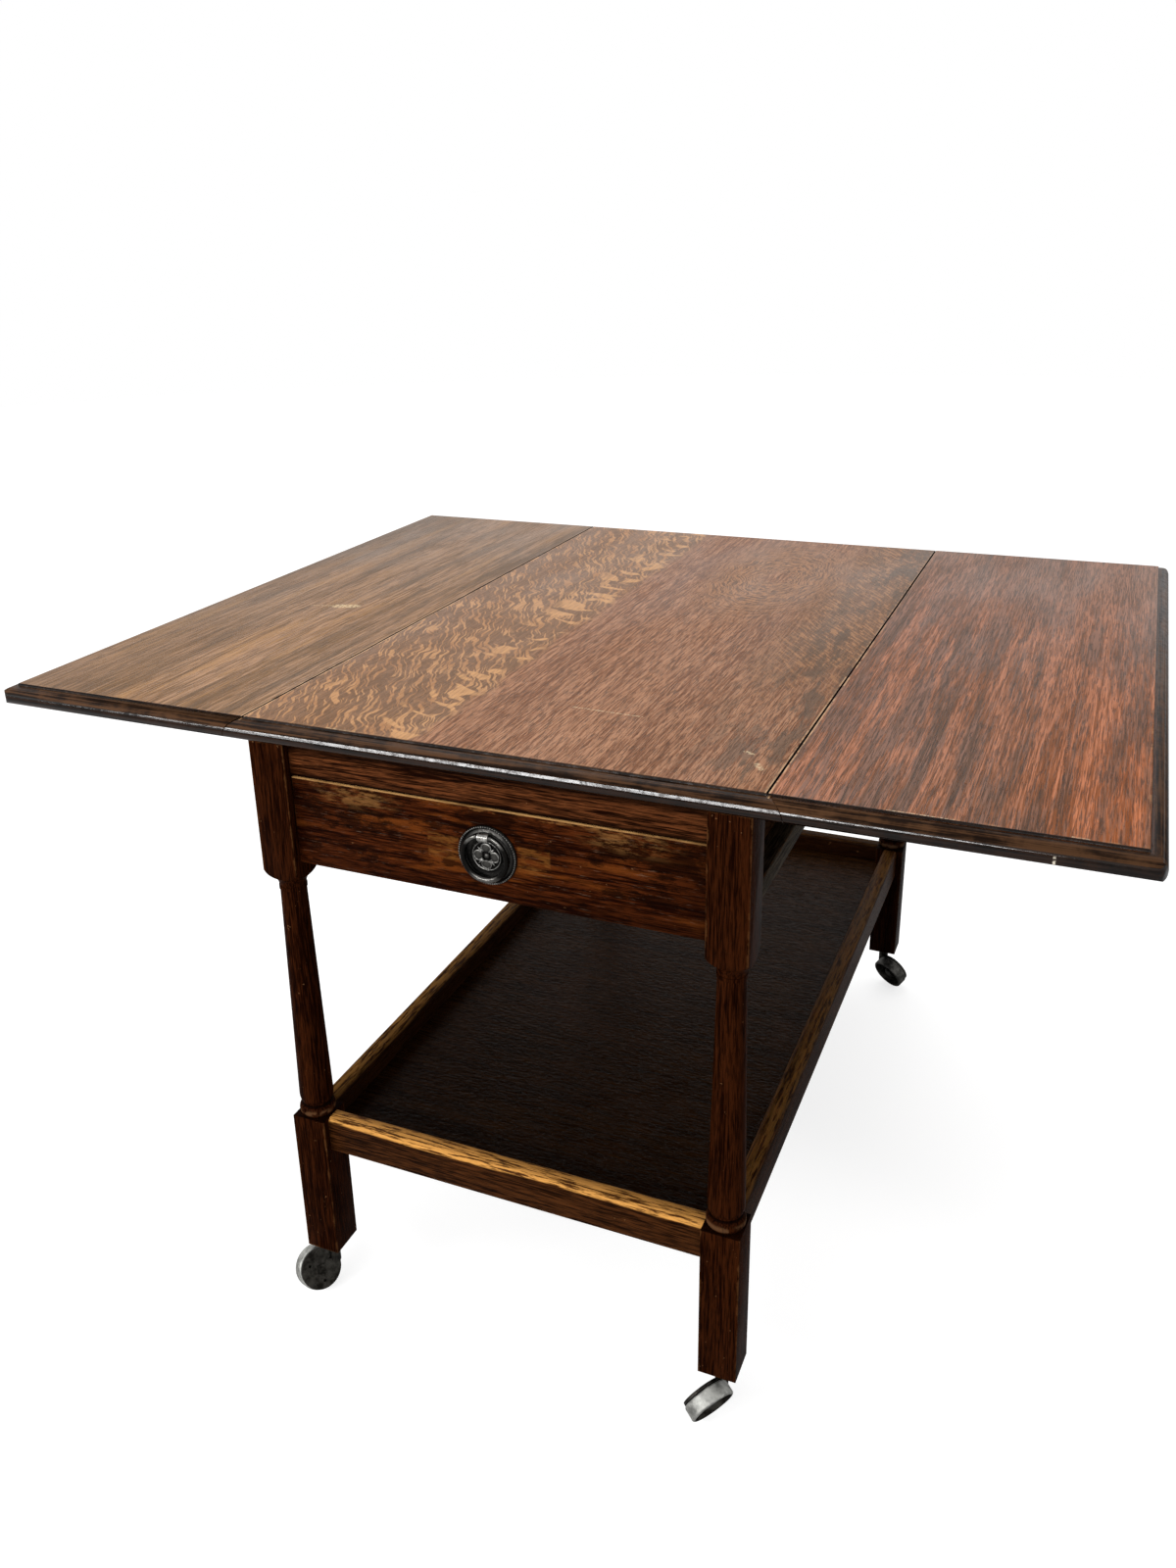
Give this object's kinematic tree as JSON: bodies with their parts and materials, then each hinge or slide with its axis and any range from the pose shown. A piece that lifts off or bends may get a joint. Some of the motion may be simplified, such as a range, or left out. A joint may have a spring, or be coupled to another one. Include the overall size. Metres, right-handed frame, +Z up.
{
  "type": "tea trolley",
  "caption": "Drop leaf tea trolley in dark wood: moulded top with rule-jointed leaves that fold down, drawer with a ring pull, turned legs, lower tray and swivel castors.",
  "frame": {"origin": "on the floor, under the middle of the top", "axes": "+X towards the right leaf as seen from the drawer, +Y away from the drawer front, +Z up"},
  "size_m": [1.087, 0.9191, 0.675],
  "materials": {
    "top_oak": "polished dark oak",
    "frame_oak": "polished dark oak, worn edges",
    "drawer_oak": "polished dark oak, worn",
    "inner_wood": "unpolished",
    "pull_metal": "blackened, bright on the high points",
    "hinge_steel": "dulled",
    "castor_metal": "dull pale grey",
    "castor_iron": "mottled"
  },
  "bodies": {
    "frame": {"top_board": "top_oak", "leg_front_left": "frame_oak", "leg_front_right": "frame_oak", "leg_rear_left": "frame_oak", "leg_rear_right": "frame_oak", "frieze_rail": "frame_oak", "rear_apron": "frame_oak", "top_rail_left": "frame_oak", "top_rail_right": "frame_oak", "side_bar_left": "frame_oak", "side_bar_right": "frame_oak", "glue_blocks": "inner_wood", "tray_rail_left": "frame_oak", "tray_rail_right": "frame_oak", "tray_rail_front": "frame_oak", "tray_rail_rear": "frame_oak", "tray_floor": "frame_oak", "drawer_runner_left": "inner_wood", "drawer_runner_right": "inner_wood", "board_hinge_plates_left": "hinge_steel", "board_hinge_plates_right": "hinge_steel", "hinge_pins_left": "hinge_steel", "hinge_pins_right": "hinge_steel", "stay_bar_bracket_left": "hinge_steel", "stay_bar_bracket_right": "hinge_steel", "castor_sockets": "castor_iron"},
    "left_leaf": {"left_leaf": "top_oak", "leaf_hinge_plates_left": "hinge_steel", "stay_leaf_bracket_left": "hinge_steel"},
    "left_stay_long_arm": {"stay_long_arm_left": "hinge_steel"},
    "left_stay_short_arm": {"stay_short_arm_left": "hinge_steel"},
    "right_leaf": {"right_leaf": "top_oak", "leaf_hinge_plates_right": "hinge_steel", "stay_leaf_bracket_right": "hinge_steel"},
    "right_stay_long_arm": {"stay_long_arm_right": "hinge_steel"},
    "right_stay_short_arm": {"stay_short_arm_right": "hinge_steel"},
    "drawer": {"drawer_front": "drawer_oak", "drawer_side_left": "inner_wood", "drawer_side_right": "inner_wood", "drawer_back": "inner_wood", "drawer_bottom": "inner_wood", "pull_plate": "pull_metal", "pull_boss": "pull_metal", "pull_post": "pull_metal"},
    "pull_ring": {"pull_ring": "pull_metal"},
    "castor_front_left": {"castor_horn_front_left": "castor_iron", "castor_axle_front_left": "castor_iron"},
    "castor_wheel_front_left": {"castor_wheel_front_left": "castor_metal"},
    "castor_front_right": {"castor_horn_front_right": "castor_iron", "castor_axle_front_right": "castor_iron"},
    "castor_wheel_front_right": {"castor_wheel_front_right": "castor_metal"},
    "castor_rear_right": {"castor_horn_rear_right": "castor_iron", "castor_axle_rear_right": "castor_iron"},
    "castor_wheel_rear_right": {"castor_wheel_rear_right": "castor_metal"},
    "castor_rear_left": {"castor_horn_rear_left": "castor_iron", "castor_axle_rear_left": "castor_iron"},
    "castor_wheel_rear_left": {"castor_wheel_rear_left": "castor_metal"}
  },
  "joints": [
    {"name": "left_leaf_hinge", "type": "hinge", "parent": "frame", "child": "left_leaf", "pos_m": [-0.2515, 0, 0.6565], "axis": [0, -1, 0], "range_deg": [0, 90]},
    {"name": "left_stay_long_hinge", "type": "hinge", "parent": "frame", "child": "left_stay_long_arm", "pos_m": [-0.242, 0, 0.5555], "axis": [0, -1, 0], "range_deg": [0, 119.89]},
    {"name": "left_stay_short_hinge", "type": "hinge", "parent": "left_leaf", "child": "left_stay_short_arm", "pos_m": [-0.4015, 0, 0.647], "axis": [0, 1, 0], "range_deg": [0, 150.21]},
    {"name": "right_leaf_hinge", "type": "hinge", "parent": "frame", "child": "right_leaf", "pos_m": [0.2515, 0, 0.6565], "axis": [0, 1, 0], "range_deg": [0, 90]},
    {"name": "right_stay_long_hinge", "type": "hinge", "parent": "frame", "child": "right_stay_long_arm", "pos_m": [0.242, 0, 0.5555], "axis": [0, 1, 0], "range_deg": [0, 119.89]},
    {"name": "right_stay_short_hinge", "type": "hinge", "parent": "right_leaf", "child": "right_stay_short_arm", "pos_m": [0.4015, 0, 0.647], "axis": [0, -1, 0], "range_deg": [0, 150.21]},
    {"name": "drawer_slide", "type": "slide", "parent": "frame", "child": "drawer", "axis": [0, -1, 0], "range_m": [0, 0.3]},
    {"name": "pull_ring_hinge", "type": "hinge", "parent": "drawer", "child": "pull_ring", "pos_m": [0, -0.4368, 0.5954], "axis": [-1, 0, 0], "range_deg": [0, 85]},
    {"name": "castor_swivel_front_left", "type": "hinge", "parent": "frame", "child": "castor_front_left", "pos_m": [-0.224, -0.419, 0.058], "axis": [0, 0, 1], "continuous": true},
    {"name": "castor_roll_front_left", "type": "hinge", "parent": "castor_front_left", "child": "castor_wheel_front_left", "pos_m": [-0.23196, -0.43643, 0.02743], "axis": [-0.7686, 0.4803, -0.4226], "continuous": true},
    {"name": "castor_swivel_front_right", "type": "hinge", "parent": "frame", "child": "castor_front_right", "pos_m": [0.224, -0.419, 0.058], "axis": [0, 0, 1], "continuous": true},
    {"name": "castor_roll_front_right", "type": "hinge", "parent": "castor_front_right", "child": "castor_wheel_front_right", "pos_m": [0.21157, -0.43358, 0.02743], "axis": [0.7601, -0.4936, -0.4226], "continuous": true},
    {"name": "castor_swivel_rear_right", "type": "hinge", "parent": "frame", "child": "castor_rear_right", "pos_m": [0.224, 0.419, 0.058], "axis": [0, 0, 1], "continuous": true},
    {"name": "castor_roll_rear_right", "type": "hinge", "parent": "castor_rear_right", "child": "castor_wheel_rear_right", "pos_m": [0.24143, 0.41104, 0.02743], "axis": [-0.4803, -0.7686, -0.4226], "continuous": true},
    {"name": "castor_swivel_rear_left", "type": "hinge", "parent": "frame", "child": "castor_rear_left", "pos_m": [-0.224, 0.419, 0.058], "axis": [0, 0, 1], "continuous": true},
    {"name": "castor_roll_rear_left", "type": "hinge", "parent": "castor_rear_left", "child": "castor_wheel_rear_left", "pos_m": [-0.23196, 0.43643, 0.02743], "axis": [-0.7686, -0.4803, -0.4226], "continuous": true}
  ],
  "couplings": [
    {"joint": "left_stay_long_hinge", "follows": "left_leaf_hinge", "ratio": 1.3316},
    {"joint": "left_stay_short_hinge", "follows": "left_leaf_hinge", "ratio": 1.6684},
    {"joint": "right_stay_long_hinge", "follows": "right_leaf_hinge", "ratio": 1.3316},
    {"joint": "right_stay_short_hinge", "follows": "right_leaf_hinge", "ratio": 1.6684}
  ]
}
